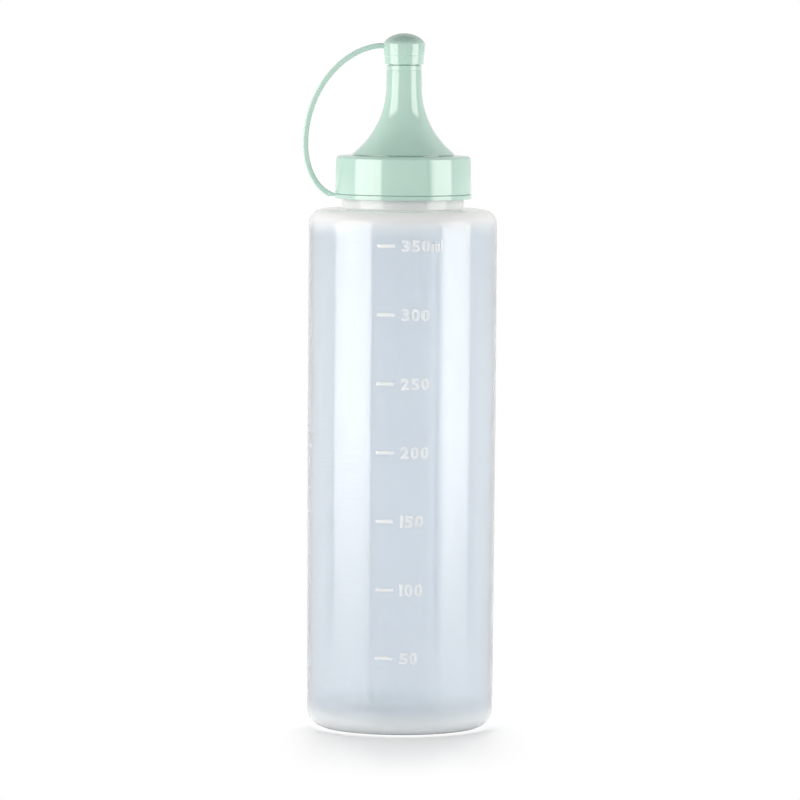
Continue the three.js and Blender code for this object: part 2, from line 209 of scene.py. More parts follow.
class ThreadSizes(bpy.types.PropertyGroup):
    """Sizes that the neck's thread and the cap's thread share."""

    pitch: length("Pitch", 0.00423, "Rise in one turn")
    turns: share("Turns", 1.25, "Turns of the ridge")
    depth: length("Depth", 0.00115, "Height of the ridge over its wall")
    foot_width: length("Foot width", 0.0023, "Width of the ridge at its wall")
    crest_width: length("Crest width", 0.0011, "Width of the ridge at its crest")
    embed: length("Embed", 0.0005, "How far the ridge's foot reaches into its wall")
    run_out: share("Run-out", 40 / 360, "Turns over which each end fades into the wall")
    start_height: length("Start height", 0.16345, "Middle of the neck's ridge at its lower end")
    cap_start: share("Cap start", 0.4, "Turns from the start of the neck's ridge to the start of the cap's")
    steps: IntProperty(name="Steps", description="Points in one turn", default=72, min=12)


class MarkSizes(bpy.types.PropertyGroup):
    """Sizes of the raised volume scale."""

    count: IntProperty(name="Count", description="Bars on the scale", default=7, min=1)
    step_volume: IntProperty(name="Step volume", description="Millilitres between two bars", default=50)
    first_height: length("First height", 0.0237, "Foot to the middle of the lowest bar")
    spacing: length("Spacing", 0.02058, "From one bar to the next")
    bar_length: length("Bar length", 0.0056, "Length along the wall")
    bar_thickness: length("Bar thickness", 0.0012, "Height of a bar")
    bar_middle: length("Bar middle", -0.0049, "Along the wall, from the front line to a bar's middle")
    bar_round: length("Bar round", 0.00045, "Rounding of a bar's edges")
    raised: length("Raised", 0.00045, "How far bars and numbers stand out of the wall")
    root: length("Root", 0.0003, "How far bars and numbers reach into the wall")
    number_height: length("Number height", 0.0037, "Height of a numeral")
    number_start: length("Number start", -0.0003, "Along the wall, from the front line to a number")
    digit_width: length("Digit width", 0.00255, "Width of a numeral")
    one_width: length("One width", 0.0010, "Width of the numeral one")
    digit_gap: length("Digit gap", 0.0004, "From one numeral to the next")
    unit_width: length("Unit width", 0.0035, "Width of the unit beside the top number")
    number_weight: share("Number weight", 0.02, "Added on each side of a stroke, for letters one unit high")


class WasherSizes(bpy.types.PropertyGroup):
    """Sizes of the seal washer."""

    bore: length("Bore", 0.0146, "Inside of the washer")
    edge_round: length("Edge round", 0.00015, "Rounding of its edges")


class CapSizes(bpy.types.PropertyGroup):
    """Sizes of the screw cap and its nozzle."""

    foot_radius: length("Foot radius", CAP_HIGH.x, "Outside of the skirt at its lower end")
    skirt_taper: length("Skirt taper", 0.00035, "How much narrower the skirt is at the deck")
    skirt_inner: length("Skirt inner", 0.01905, "Inside of the skirt")
    skirt_gap: length("Skirt gap", 0.0001, "From the tether ring up to the skirt")
    edge_round: length("Edge round", 0.001, "Rounding of the deck's edge")
    deck_top: length("Deck top", WASHER_HIGH.z + 0.0018, "Height of the deck")
    deck_thickness: length("Deck thickness", 0.0016, "Thickness of the deck")
    skirt_end: length("Skirt end", 0.16035, "Foot of the bottle to the lower end of the skirt")
    sleeve_radius: length("Sleeve radius", 0.0197, "Thinner end of the skirt, inside the tether ring")
    lip_radius: length("Lip radius", 0.0203, "Bead that keeps the tether ring on")
    lip_height: length("Lip height", 0.0003, "Height of that bead")
    foot_round: length("Foot round", 0.00025, "Rounding of the skirt's lower edge and of other small edges")
    nozzle_foot: length("Nozzle foot", 0.0155, "Radius of the nozzle over the groove at its foot")
    deck_fall: length("Deck fall", 0.0003, "How far the deck falls from the nozzle's foot to the skirt")
    groove_height: length("Groove height", 0.0003, "Height of the groove between the deck and the nozzle")
    groove_depth: length("Groove depth", 0.0006, "How far that groove reaches in under the nozzle's foot")
    flare_drop: length("Flare drop", 0.0259, "Upright half-axis of the flare's ellipse")
    mouth_drop: length("Mouth drop", 0.0255, "Upright half-axis of the ellipse inside the flare")
    tube_radius: length("Tube radius", 0.00537, "Straight end of the nozzle")
    tube_taper: length("Tube taper", 0.0001, "How much narrower the tube is at its end")
    tube_length: length("Tube length", 0.0064, "Length of the straight end")
    bore_length: length("Bore length", 0.0054, "Length of the straight end inside")
    nozzle_wall: length("Nozzle wall", 0.0013, "Thickness of the tube")
    mouth_radius: length("Mouth radius", 0.0138, "Inside of the nozzle at the deck")
    spigot_radius: length("Spigot radius", 0.0047, "End of the nozzle, inside the tip cap")
    spigot_length: length("Spigot length", 0.0046, "Length of that end")
    spigot_round: length("Spigot round", 0.0005, "Rounding of that end")
    orifice_radius: length("Orifice radius", 0.003, "Hole that the sauce leaves through")
    orifice_length: length("Orifice length", 0.004, "Depth of that hole")
    witness_drop: length("Witness drop", 0.0014, "From the nozzle's step down to the mould's witness line")
    witness_depth: length("Witness depth", 0.00005, "Depth of that line")
    witness_width: length("Witness width", 0.0001, "Half the width of that line")


class TetherSizes(bpy.types.PropertyGroup):
    """Sizes of the ring, its tab and the strap."""

    ring_inner: length("Ring inner", 0.0200, "Inside of the ring")
    ring_outer: length("Ring outer", 0.02064, "Outside of the ring")
    ring_round: length("Ring round", 0.00008, "Rounding of the ring's edges")
    ring_drop: length("Ring drop", 0.00065, "How far the ring's top lies below the top of its seat")
    hem_drop: length("Hem drop", 0.00045, "How far the ring's thin hem hangs over the cap's bead")
    hem_inner: length("Hem inner", 0.0204, "Inside of that hem")
    tab_length: length("Tab length", 0.0022, "Ring to the root of the strap")
    tab_width: length("Tab width", 0.0028, "Width of the tab")
    tab_thickness: length("Tab thickness", 0.0015, "Thickness of the tab where the strap leaves it")
    tab_round: length("Tab round", 0.0004, "Rounding of the tab's edges")
    tab_rise: length("Tab rise", 0.0006, "Middle of the ring up to the root of the strap")
    strap_thickness: length("Strap thickness", 0.0016, "Thickness of the strap")
    strap_width: length("Strap width", 0.0026, "Width of the strap")
    strap_round: length("Strap round", 0.0004, "Rounding of the strap's edges")
    strap_bulge: length("Strap bulge", 0.00675, "How far the strap stands out past its root")
    bulge_rise: length("Bulge rise", 0.01475, "From the root up to where the strap stands out furthest")
    root_angle: angle("Root angle", 70, "Angle of the lower ellipse from the bulge to the root")
    upper_ease: share("Upper ease", 1.1, "How much flatter than an ellipse the strap is over its bulge")
    tip_drop: length("Tip drop", 0.0005, "From the top of the tip cap's skirt down to the strap's middle")
    overlap: length("Overlap", 0.0006, "How far the strap runs into the tab and the tip cap")


class TipCapSizes(bpy.types.PropertyGroup):
    """Sizes of the tip cap."""

    rim_radius: length("Rim radius", 0.00583, "Outside of the skirt at its rim")
    top_radius: length("Top radius", TIP_HIGH.x, "Outside of the skirt at its top")
    socket_radius: length("Socket radius", 0.005, "Inside of the skirt")
    rim_round: length("Rim round", 0.00015, "Rounding of the rim")
    band_height: length("Band height", 0.0026, "Lower band, under the step line")
    band_flare: length("Band flare", 0.00012, "How much wider the band is at the step line")
    step: length("Step", 0.00009, "How far the skirt steps out over that band")
    dome_height: length("Dome height", 0.0033, "Height of the dome over the skirt")
    dome_start: angle("Dome start", 14, "Angle of the dome's ellipse at the skirt")
    plug_radius: length("Plug radius", 0.0027, "Pin that closes the nozzle")
    plug_length: length("Plug length", 0.0045, "Length of that pin")
    plug_round: length("Plug round", 0.0006, "Rounding of the pin's end")
    roof: length("Roof", 0.0002, "From the top of the skirt down to the roof of the socket")


class Finishes(bpy.types.PropertyGroup):
    """Colours of the mouldings."""

    translucent: colour("Translucent", (0.813, 0.859, 0.906), "Cloudy polyethylene of the bottle's wall")
    milky: colour("Milky", (0.905, 0.958, 1.0), "The same polyethylene where it is thick")
    mint: colour("Mint", (0.472, 0.698, 0.608), "Polyethylene of the cap, tether and tip cap")
    seal: colour("Seal", (0.82, 0.83, 0.81), "Silicone of the washer")


class StageSettings(bpy.types.PropertyGroup):
    """Camera and light."""

    distance: length("Camera distance", 1.70, "Axis of the bottle to the camera")
    height: length("Camera height", 0.226, "Floor to the camera")
    aim_height: length("Aim height", 0.09915, "Height on the bottle's axis at the middle of the picture")
    aim_side: length("Aim side", -0.00055, "Sideways from the axis to the middle of the picture")
    roll: angle("Camera roll", 0.4, "Lean of the picture")
    lens: FloatProperty(name="Lens", description="Focal length in millimetres", default=253.3)
    box_distance: length("Softbox distance", 0.25, "Axis of the bottle to the upright edges of the softboxes")
    box_bottom: length("Softbox bottom", 0.0, "Height of the softboxes' lower edge")
    box_top: length("Softbox top", 0.35, "Height of the softboxes' upper edge")
    left_near: angle("Left near edge", 34, "From the camera's side to the left softbox")
    left_far: angle("Left far edge", 88, "From the camera's side to the left softbox's far edge")
    right_near: angle("Right near edge", 40, "From the camera's side to the right softbox")
    right_far: angle("Right far edge", 88, "From the camera's side to the right softbox's far edge")
    left_fade: share("Left fade", 0.08, "Share of the left softbox that fades towards the camera")
    right_fade: share("Right fade", 0.3, "Share of the right softbox that fades towards the camera")
    low_fade: share("Low fade", 0.23, "Share of a softbox that fades towards the floor")
    low_level: share("Low level", 0.55, "Brightness of a softbox at the floor, as a share")
    left_glow: share("Left softbox", 2.65, "Brightness of the softbox on the left")
    right_glow: share("Right softbox", 2.6, "Brightness of the softbox on the right")
    panel_distance: length("Panel distance", 0.5, "Axis of the bottle to the soft panel behind it")
    panel_width: length("Panel width", 0.4, "Width of that panel")
    panel_bottom: length("Panel bottom", 0.04, "Height of the panel's lower edge")
    panel_top: length("Panel top", 0.44, "Height of the panel's upper edge")
    panel_glow: share("Panel", 8.0, "Brightness of the panel")
    box_colour: colour("Softbox colour", (1.0, 0.965, 0.925), "Colour of the softboxes' light")
    fill: share("Fill", 0.58, "Brightness of the room on the camera's side")
    back: share("Back", 0.8, "Brightness of the room behind the bottle")
    overhead: share("Overhead", 0.32, "Brightness of the room overhead")
    floor_size: length("Floor size", 12.0, "Side of the floor")
    floor_colour: colour("Floor colour", (0.94, 0.942, 0.955), "Colour of the floor")
    floor_roughness: share("Floor roughness", 0.3, "How much the floor's reflections are blurred")
    # Painted light: a white ring on the floor at the bottle's foot, where the foot's overhang shades it; it
    # glows for the camera and in gloss and is no lamp
    rim_start: length("Rim start", 0.0258, "Axis to where the light at the bottle's foot starts to fade")
    rim_end: length("Rim end", 0.0295, "Axis to where that light on the floor ends")
    rim_glow: share("Rim glow", 0.95, "Brightness of that light")
    under_glow: share("Under glow", 0.95, "Brightness of the floor under the bottle, seen through its base")
    glow_start: length("Glow start", 0.035, "Axis forwards to where the floor starts to turn white")
    glow_end: length("Glow end", 0.12, "Axis forwards to where the floor is white, with no shadow")


class SauceBottleSettings(bpy.types.PropertyGroup):
    """Everything that a user would change."""

    bottle: PointerProperty(type=BottleSizes)
    thread: PointerProperty(type=ThreadSizes)
    marks: PointerProperty(type=MarkSizes)
    washer: PointerProperty(type=WasherSizes)
    cap: PointerProperty(type=CapSizes)
    tether: PointerProperty(type=TetherSizes)
    tip_cap: PointerProperty(type=TipCapSizes)
    finishes: PointerProperty(type=Finishes)
    stage: PointerProperty(type=StageSettings)


def settings():
    return bpy.context.scene.sauce_bottle


def node(tree, kind, inputs=None, **values):
    """Adds a node, sets its values, and links or fills its inputs."""
    made = tree.nodes.new(kind)
    made.location = (200 * len(tree.nodes), 0)
    for key, value in values.items():
        setattr(made, key, value)
    for key, value in (inputs or {}).items():
        if isinstance(value, bpy.types.NodeSocket):
            tree.links.new(value, made.inputs[key])
        else:
            made.inputs[key].default_value = value
    return made


def result(tree, kind, inputs=None, **values):
    """The first output of a new node."""
    return node(tree, kind, inputs, **values).outputs[0]


def maths(tree, operation, *terms):
    """The result of a Math node."""
    return result(tree, "ShaderNodeMath", dict(enumerate(terms)), operation=operation)


def product(tree, *terms):
    """All terms multiplied, from the first to the last."""
    whole = terms[0]
    for term in terms[1:]:
        whole = maths(tree, "MULTIPLY", whole, term)
    return whole


def vector(tree, **parts):
    """A vector from its X, Y and Z, where one left out is zero."""
    return result(tree, "ShaderNodeCombineXYZ", parts)


def split(tree, place):
    """The X, Y and Z of a vector."""
    return node(tree, "ShaderNodeSeparateXYZ", {"Vector": place}).outputs


def distance(tree, place, stretch=(1, 1, 1)):
    """How far a place is from the origin, after its axes are stretched."""
    stretched = result(tree, "ShaderNodeVectorMath", {0: place, 1: stretch}, operation="MULTIPLY")
    return node(tree, "ShaderNodeVectorMath", {0: stretched}, operation="LENGTH").outputs["Value"]


def ranged(tree, value, low, high, first=0.0, last=1.0, ease="LINEAR"):
    """A number that goes from first to last as a value goes from low to high."""
    inputs = {"Value": value, "From Min": low, "From Max": high, "To Min": first, "To Max": last}
    return result(tree, "ShaderNodeMapRange", inputs, interpolation_type=ease)


def eased(tree, value, low, high, first=0.0, last=1.0):
    """The same as a smooth step."""
    return ranged(tree, value, low, high, first, last, "SMOOTHSTEP")


def transformed(tree, geometry, shift, turn):
    """A geometry turned and moved."""
    inputs = {"Geometry": geometry, "Translation": shift, "Rotation": turn}
    return result(tree, "GeometryNodeTransform", inputs)


def new_tree(name, **sockets):
    """An empty geometry tree whose group input has a material and these named sockets, listed by kind."""
    tree = bpy.data.node_groups.new(name, "GeometryNodeTree")
    tree.interface.new_socket("Geometry", in_out="OUTPUT", socket_type="NodeSocketGeometry")
    for kind, labels in {**sockets, "Material": ["Material"]}.items():
        for label in labels:
            tree.interface.new_socket(label, in_out="INPUT", socket_type="NodeSocket" + kind)
    return tree, node(tree, "NodeGroupInput").outputs


def close_tree(tree, geometry, material):
    """Ends a tree in Realize Instances and Set Material."""
    whole = result(tree, "GeometryNodeRealizeInstances", {"Geometry": geometry})
    painted = result(tree, "GeometryNodeSetMaterial", {"Geometry": whole, "Material": material})
    node(tree, "NodeGroupOutput", {"Geometry": painted})
    return tree


def turned_tree():
    """A profile, given as a line of points (radius, 0, height), turned about the Z axis."""
    tree, given = new_tree("Turned moulding", Geometry=["Profile"], Int=["Segments"], Float=["Weld"])
    profile, segments = given["Profile"], given["Segments"]
    points = node(tree, "GeometryNodeAttributeDomainSize", {"Geometry": profile}).outputs["Point Count"]
    rows = maths(tree, "SUBTRACT", points, 1)
    columns = maths(tree, "ADD", segments, 1)
    counts = {"Size X": segments, "Size Y": rows, "Vertices X": columns, "Vertices Y": points}
    grid = node(tree, "GeometryNodeMeshGrid", counts).outputs["Mesh"]
    place = result(tree, "GeometryNodeInputPosition")
    across = split(tree, place)
    turn = product(tree, maths(tree, "DIVIDE", across["X"], segments), FULL_TURN)
    row = maths(tree, "ROUND", maths(tree, "ADD", across["Y"], maths(tree, "DIVIDE", rows, 2)))
    found = {"Geometry": profile, "Value": place, "Index": row}
    on_profile = split(tree, result(tree, "GeometryNodeSampleIndex", found, data_type="FLOAT_VECTOR"))
    wrapped = vector(
        tree,
        X=product(tree, on_profile["X"], maths(tree, "COSINE", turn)),
        Y=product(tree, on_profile["X"], maths(tree, "SINE", turn)),
        Z=on_profile["Z"],
    )
    shell = result(tree, "GeometryNodeSetPosition", {"Geometry": grid, "Position": wrapped})
    closed = result(tree, "GeometryNodeMergeByDistance", {"Geometry": shell, "Distance": given["Weld"]})
    return close_tree(tree, closed, given["Material"])


def thread_tree():
    """A helical ridge on a round wall, whose ends fade into the wall. A negative reach points inwards."""
    section_sizes = ["Reach", "Embed", "Foot Width", "Crest Width"]
    run_sizes = ["Wall Radius", "Pitch", "Turns", "Run Out", "Start Height", "Start Turn"]
    tree, given = new_tree("Thread ridge", Float=section_sizes + run_sizes, Int=["Steps"])
    run = {
        "Resolution": given["Steps"],
        "Rotations": given["Turns"],
        "Start Radius": given["Wall Radius"],
        "End Radius": given["Wall Radius"],
        "Height": product(tree, given["Pitch"], given["Turns"]),
        "Reverse": True,
    }
    helix = result(tree, "GeometryNodeCurveSpiral", run)
    upright = result(tree, "GeometryNodeSetCurveNormal", {"Curve": helix}, mode="Z_UP")
    side = maths(tree, "SIGN", given["Reach"])
    depth = maths(tree, "ADD", maths(tree, "ABSOLUTE", given["Reach"]), given["Embed"])
    widths = {"Bottom Width": given["Foot Width"], "Top Width": given["Crest Width"], "Offset": 0.0}
    section = result(
        tree, "GeometryNodeCurvePrimitiveQuadrilateral", {"Height": depth, **widths}, mode="TRAPEZOID"
    )
    middle = maths(tree, "SUBTRACT", maths(tree, "DIVIDE", depth, 2), given["Embed"])
    outwards = vector(tree, X=product(tree, middle, side))
    lean = vector(tree, Z=product(tree, side, -QUARTER_TURN))
    set_in = transformed(tree, section, outwards, lean)
    along = node(tree, "GeometryNodeSplineParameter").outputs["Factor"]
    from_end = maths(tree, "MINIMUM", along, maths(tree, "SUBTRACT", 1, along))
    faded = maths(tree, "DIVIDE", product(tree, from_end, given["Turns"]), given["Run Out"])
    size = maths(tree, "MAXIMUM", maths(tree, "MINIMUM", faded, 1), THREAD_END_SIZE)
    swept = {"Curve": upright, "Profile Curve": set_in, "Scale": size, "Fill Caps": True}
    ridge = result(tree, "GeometryNodeCurveToMesh", swept)
    height = maths(tree, "ADD", given["Start Height"], product(tree, given["Start Turn"], given["Pitch"]))
    turn = product(tree, given["Start Turn"], FULL_TURN)
    placed = transformed(tree, ridge, vector(tree, Z=height), vector(tree, Z=turn))
    return close_tree(tree, placed, given["Material"])


def bars_tree():
    """A column of raised bars, wrapped round the front of a wall that tapers towards its foot."""
    bar_sizes = ["First Height", "Spacing", "Bar Middle", "Raised"]
    wall_sizes = ["Wall Radius", "Taper", "Taper Bottom", "Taper Top"]
    tree, given = new_tree("Volume bars", Int=["Count"], Float=bar_sizes + wall_sizes, Vector=["Bar"])
    places = {
        "Count": given["Count"],
        "Start Location": vector(tree, X=given["Bar Middle"], Z=given["First Height"]),
        "Offset": vector(tree, Z=given["Spacing"]),
    }
    column = result(tree, "GeometryNodeMeshLine", places)
    steps = {"Vertices X": BAR_STEPS, "Vertices Y": 2, "Vertices Z": 2}
    bar = result(tree, "GeometryNodeMeshCube", {"Size": given["Bar"], **steps})
    copies = result(tree, "GeometryNodeInstanceOnPoints", {"Points": column, "Instance": bar})
    flat = result(tree, "GeometryNodeRealizeInstances", {"Geometry": copies})
    place = split(tree, result(tree, "GeometryNodeInputPosition"))
    narrower = ranged(tree, place["Z"], given["Taper Bottom"], given["Taper Top"], given["Taper"], 0.0)
    depth = split(tree, given["Bar"])["Y"]
    sunk = maths(tree, "SUBTRACT", maths(tree, "DIVIDE", depth, 2), given["Raised"])
    surface = maths(tree, "SUBTRACT", maths(tree, "SUBTRACT", given["Wall Radius"], narrower), sunk)
    radius = maths(tree, "SUBTRACT", surface, place["Y"])
    turn = maths(tree, "DIVIDE", place["X"], given["Wall Radius"])
    wrapped = vector(
        tree,
        X=product(tree, radius, maths(tree, "SINE", turn)),
        Y=product(tree, radius, maths(tree, "COSINE", turn), -1),
        Z=place["Z"],
    )
    on_wall = result(tree, "GeometryNodeSetPosition", {"Geometry": flat, "Position": wrapped})
    return close_tree(tree, on_wall, given["Material"])


def strip_tree():
    """A strip with rounded edges that follows a line of points."""
    tree, given = new_tree("Bent strip", Geometry=["Path"], Float=["Width", "Thickness", "Round"])
    line = result(tree, "GeometryNodeMeshToCurve", {"Mesh": given["Path"]})
    sides = {"Width": given["Width"], "Height": given["Thickness"]}
    section = result(tree, "GeometryNodeCurvePrimitiveQuadrilateral", sides, mode="RECTANGLE")
    corners = {"Curve": section, "Count": CORNER_STEPS, "Radius": given["Round"], "Limit Radius": True}
    soft = result(tree, "GeometryNodeFilletCurve", corners, mode="POLY")
    swept = {"Curve": line, "Profile Curve": soft, "Fill Caps": True}
    return close_tree(tree, result(tree, "GeometryNodeCurveToMesh", swept), given["Material"])


def link_object(name, data):
    """A new object in the scene, at the origin."""
    made = bpy.data.objects.new(name, data)
    bpy.context.scene.collection.objects.link(made)
    return made


def line_object(name, points):
    """An object whose mesh is a line through these points."""
    mesh = bpy.data.meshes.new(name)
    mesh.from_pydata(points, [(i, i + 1) for i in range(len(points) - 1)], [])
    return link_object(name, mesh)


def evaluated_mesh(piece):
    """A plain mesh of what an object and its modifiers make."""
    bpy.context.view_layer.update()
    graph = bpy.context.evaluated_depsgraph_get()
    return bpy.data.meshes.new_from_object(piece.evaluated_get(graph), depsgraph=graph)


def realise(piece):
    """Turns what a piece's modifiers make into its plain mesh."""
    mesh = evaluated_mesh(piece)
    piece.modifiers.clear()
    spare, piece.data = piece.data, mesh
    bpy.data.meshes.remove(spare)
    mesh.name = piece.name
    return piece


def paint(piece, material):
    """Gives a piece one material all over."""
    piece.data.materials.clear()
    piece.data.materials.append(material)
    piece.data.polygons.foreach_set("material_index", [0] * len(piece.data.polygons))
    return piece


def grow(piece, tree, material, inputs, sizes=None):
    """Runs a geometry tree on a piece. What the inputs leave out is taken from the size of the same name."""
    modifier = piece.modifiers.new(tree.name, "NODES")
    modifier.node_group = tree
    given = {"Material": material, **inputs}
    for socket in tree.interface.items_tree:
        if socket.in_out == "INPUT" and socket.socket_type != "NodeSocketGeometry":
            if socket.name not in given:
                given[socket.name] = getattr(sizes, socket.name.lower().replace(" ", "_"))
            modifier[socket.identifier] = given[socket.name]
    return paint(realise(piece), material)


def tidy_faces(piece):
    """Welds a piece's doubles, turns its faces outwards, and smooths it up to its sharp edges."""
    shape = bmesh.new()
    shape.from_mesh(piece.data)
    bmesh.ops.remove_doubles(shape, verts=shape.verts, dist=WELD)
    bmesh.ops.dissolve_degenerate(shape, edges=shape.edges, dist=WELD)
    bmesh.ops.recalc_face_normals(shape, faces=shape.faces)
    for face in shape.faces:
        face.smooth = True
    for edge in shape.edges:
        edge.smooth = edge.calc_face_angle(math.pi) < SHARP_ANGLE
    shape.to_mesh(piece.data)
    shape.free()
    return piece


def unite(piece, *others):
    """Joins other closed pieces to a piece, as one moulding."""
    for other in others:
        modifier = piece.modifiers.new(other.name, "BOOLEAN")
        modifier.operation = "UNION"
        modifier.solver = "MANIFOLD"
        modifier.object = other
    material = piece.data.materials[0]
    paint(realise(piece), material)
    for other in others:
        bpy.data.objects.remove(other)
    return tidy_faces(piece)


def flare(foot, top, drop):
    """A concave flare on an ellipse, upright at its top and swept outwards to its foot, from the foot up."""
    sweep = math.asin((top[1] - foot[1]) / drop)
    reach = (foot[0] - top[0]) / (1 - math.cos(sweep))
    turns = [sweep * (1 - i / FLARE_STEPS) for i in range(FLARE_STEPS + 1)]
    return [(top[0] + reach * (1 - math.cos(turn)), top[1] - drop * math.sin(turn)) for turn in turns]


def rounded(corners):
    """A profile through corners (radius, height), or (radius, height, rounding) where a corner is eased."""
    points = []
    for i, corner in enumerate(corners):
        here = Vector(corner[:2])
        if len(corner) == 2:
            points.append(tuple(here))
            continue
        before = (Vector(corners[i - 1][:2]) - here).normalized()
        after = (Vector(corners[i + 1][:2]) - here).normalized()
        half = before.angle(after) / 2
        middle = here + (before + after).normalized() * (corner[2] / math.sin(half))
        first = here + before * (corner[2] / math.tan(half)) - middle
        sweep = math.copysign(math.pi - 2 * half, first.y * before.x - first.x * before.y)
        for step in range(CORNER_STEPS + 1):
            spoke = Matrix.Rotation(sweep * step / CORNER_STEPS, 2) @ first
            points.append(tuple(middle + spoke))
    return points


def turn_profile(name, profile, material, segments=ROUND_SEGMENTS):
    """A piece turned from its profile of (radius, height) points."""
    line = line_object(name, [(radius, 0.0, height) for radius, height in profile])
    return tidy_faces(grow(line, turned_tree(), material, {"Segments": segments, "Weld": WELD}))


def thread_ridge(name, wall_radius, reach, start_height, start_turn, material):
    """The ridge of a thread, as a closed mesh."""
    ridge = link_object(name, bpy.data.meshes.new(name))
    inputs = {
        "Wall Radius": wall_radius,
        "Reach": reach,
        "Start Height": start_height,
        "Start Turn": start_turn,
    }
    return tidy_faces(grow(ridge, thread_tree(), material, inputs, settings().thread))


def volume_bars(material):
    """The bars of the volume scale."""
    sizes, wall = settings().marks, settings().bottle
    bars = link_object("volume_bars", bpy.data.meshes.new("volume_bars"))
    inputs = {
        "Bar": (sizes.bar_length, sizes.raised + sizes.root, sizes.bar_thickness),
        "Wall Radius": wall.body_radius,
        "Taper": wall.wall_taper,
        "Taper Bottom": wall.base_corner,
        "Taper Top": wall.taper_top,
    }
    grow(bars, bars_tree(), material, inputs, sizes)
    soften(bars, sizes.bar_round)
    return tidy_faces(realise(bars))


def wall_radius_at(height):
    """Outside of the bottle's wall at a height."""
    wall = settings().bottle
    up = (height - wall.base_corner) / (wall.taper_top - wall.base_corner)
    return wall.body_radius - wall.wall_taper * (1 - min(1, max(0, up)))


def wall_rows():
    """Points up the outside of the wall, close enough for the marks to cut only small faces."""
    wall = settings().bottle
    bottom, top = wall.base_corner, wall.shoulder_height - wall.shoulder_corner
    heights = [bottom + (top - bottom) * row / WALL_ROWS for row in range(1, WALL_ROWS)]
    return [(wall_radius_at(height), height) for height in heights]


def volume_numbers(material):
    """The raised numbers beside the bars, curved with the wall, as one object."""
    sizes = settings().marks
    joined = bmesh.new()
    for mark in range(sizes.count):
        height, along = sizes.first_height + sizes.spacing * mark, sizes.number_start
        for digit in str(sizes.step_volume * (mark + 1)):
            width = sizes.one_width if digit == "1" else sizes.digit_width
            along = add_word(joined, digit, along, height, width) + sizes.digit_gap
        if mark == sizes.count - 1:
            add_word(joined, "ml", along, height, sizes.unit_width)
    mesh = bpy.data.meshes.new("volume_numbers")
    joined.to_mesh(mesh)
    joined.free()
    mesh.materials.append(material)
    return tidy_faces(link_object(mesh.name, mesh))


def word_mesh(text):
    """A raised word, one unit high, as a welded mesh."""
    words = bpy.data.curves.new("word_" + text, "FONT")
    words.body = text
    words.extrude = NUMBER_EXTRUDE
    words.offset = settings().marks.number_weight
    words.bevel_depth = NUMBER_BEVEL
    words.bevel_resolution = EDGE_STEPS
    words.resolution_u = NUMBER_STEPS
    piece = link_object(words.name, words)
    mesh = evaluated_mesh(piece)
    bpy.data.objects.remove(piece)
    shape = bmesh.new()
    shape.from_mesh(mesh)
    bmesh.ops.remove_doubles(shape, verts=shape.verts, dist=TEXT_WELD)
    shape.to_mesh(mesh)
    shape.free()
    return mesh


def add_word(joined, text, start, height, width):
    """Adds a raised word, fitted to a width, to a mesh, and returns where it ends along the wall."""
    sizes = settings().marks
    letters = word_mesh(text)
    low = [min(vertex.co[axis] for vertex in letters.vertices) for axis in range(3)]
    high = [max(vertex.co[axis] for vertex in letters.vertices) for axis in range(3)]
    for vertex in letters.vertices:
        across, up, out = ((vertex.co[axis] - low[axis]) / (high[axis] - low[axis]) for axis in range(3))
        level = height + (up - 0.5) * sizes.number_height
        radius = wall_radius_at(level) - sizes.root + out * (sizes.root + sizes.raised)
        turn = (start + across * width) / settings().bottle.body_radius
        vertex.co = (radius * math.sin(turn), -radius * math.cos(turn), level)
    joined.from_mesh(letters)
    bpy.data.meshes.remove(letters)
    return start + width


def ring_top():
    """Height of the tether ring's upper edge."""
    return RING_HIGH.z - settings().tether.ring_drop


def strap_line():
    """The strap's middle line, from inside the tab, out to the bulge, and up and over into the tip cap."""
    sizes, tip = settings().tether, settings().tip_cap
    root_height = (RING_LOW.z + ring_top()) / 2 + sizes.tab_rise
    tip_height = TIP_HIGH.z - tip.dome_height - sizes.tip_drop
    root_reach = sizes.ring_outer + sizes.tab_length
    reach = root_reach + sizes.strap_bulge
    bulge_height = root_height + sizes.bulge_rise
    tip_reach = tip.top_radius + FIT_GAP
    points = []
    for step in range(STRAP_STEPS + 1):
        turn = sizes.root_angle - (sizes.root_angle + QUARTER_TURN) * step / STRAP_STEPS
        if turn > 0:
            width = sizes.strap_bulge / (1 - math.cos(sizes.root_angle))
            height, ease = sizes.bulge_rise / math.sin(sizes.root_angle), 1.0
        else:
            width, height, ease = reach - tip_reach, tip_height - bulge_height, sizes.upper_ease
        inwards = width * (1 - max(0.0, math.cos(turn)) ** ease)
        points.append(Vector((inwards - reach, 0, bulge_height - height * math.sin(turn))))
    into_tab = (points[0] - points[1]).normalized() * (FIT_GAP + sizes.overlap)
    into_tip = (points[-1] - points[-2]).normalized() * (FIT_GAP + sizes.overlap)
    return [points[0] + into_tab, *points, points[-1] + into_tip]


def strap_tab(material):
    """The wedge on the ring that the strap grows from."""
    sizes = settings().tether
    line = strap_line()
    along = (line[2] - line[1]).normalized()
    end = line[1] - along * FIT_GAP
    half = Vector((along.z, 0, -along.x)) * (sizes.tab_thickness / 2)
    inner = -(sizes.ring_inner + sizes.ring_outer) / 2
    side = [
        Vector((inner, 0, RING_LOW.z + sizes.ring_round)),
        Vector((inner, 0, ring_top() - sizes.ring_round)),
        end + half,
        end - half,
    ]
    mesh = bpy.data.meshes.new("strap_tab")
    shape = bmesh.new()
    face = shape.faces.new([shape.verts.new(corner - Vector((0, sizes.tab_width / 2, 0))) for corner in side])
    made = bmesh.ops.extrude_face_region(shape, geom=[face])["geom"]
    moved = [item for item in made if isinstance(item, bmesh.types.BMVert)]
    bmesh.ops.translate(shape, verts=moved, vec=(0, sizes.tab_width, 0))
    bmesh.ops.recalc_face_normals(shape, faces=shape.faces)
    shape.to_mesh(mesh)
    shape.free()
    mesh.materials.append(material)
    tab = link_object(mesh.name, mesh)
    soften(tab, sizes.tab_round)
    return tidy_faces(realise(tab))


